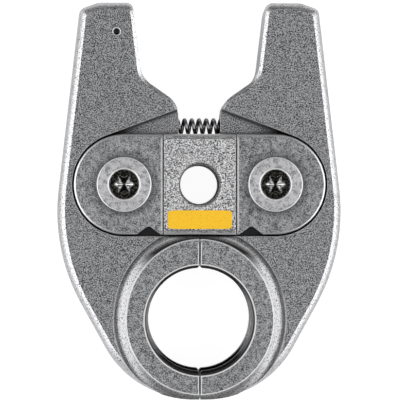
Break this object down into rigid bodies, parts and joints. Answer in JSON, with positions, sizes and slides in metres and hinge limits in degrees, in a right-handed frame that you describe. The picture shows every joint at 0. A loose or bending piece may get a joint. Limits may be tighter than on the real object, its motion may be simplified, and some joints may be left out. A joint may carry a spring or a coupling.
{
  "type": "press fitting tool jaw",
  "caption": "Forged jaw levers pivot between tie plates and close a ribbed press ring round a pipe fitting; a coil spring between them holds the ring shut.",
  "frame": {"origin": "centre of the bore for the press tool's pin, at half the jaw's thickness", "axes": "+Z out of the front face along the pin bore, +Y from the press ring towards the driven arms, +X to the right; the jaw lies on its back"},
  "size_m": [0.0924, 0.1289, 0.025],
  "materials": {
    "forged_steel": "blasted forging",
    "plate_steel": "ground ends",
    "ground_steel": "fine satin",
    "hardened_steel": "ground",
    "black_oxide_steel": "black oxide",
    "spring_steel": "drawn wire",
    "yellow_paint": "enamel"
  },
  "bodies": {
    "tie_frame": {"front_tie_plate": "plate_steel", "back_tie_plate": "plate_steel", "left_pivot_pin": "hardened_steel", "front_left_washer": "ground_steel", "front_left_screw": "black_oxide_steel", "back_left_washer": "ground_steel", "back_left_screw": "black_oxide_steel", "right_pivot_pin": "hardened_steel", "front_right_washer": "ground_steel", "front_right_screw": "black_oxide_steel", "back_right_washer": "ground_steel", "back_right_screw": "black_oxide_steel", "return_spring": "spring_steel"},
    "left_lever": {"left_jaw_lever": "forged_steel"},
    "right_lever": {"right_jaw_lever": "forged_steel"}
  },
  "joints": [
    {"name": "left_jaw_open", "type": "hinge", "parent": "tie_frame", "child": "left_lever", "pos_m": [-0.0243, 0, 0], "axis": [0, 0, -1], "range_deg": [0, 19], "stiffness_Nm_per_rad": 1.8, "springref_deg": -9.17, "deforming": ["return_spring"]},
    {"name": "right_jaw_open", "type": "hinge", "parent": "tie_frame", "child": "right_lever", "pos_m": [0.0243, 0, 0], "axis": [0, 0, 1], "range_deg": [0, 19], "stiffness_Nm_per_rad": 1.8, "springref_deg": -9.17, "deforming": ["return_spring"]}
  ]
}
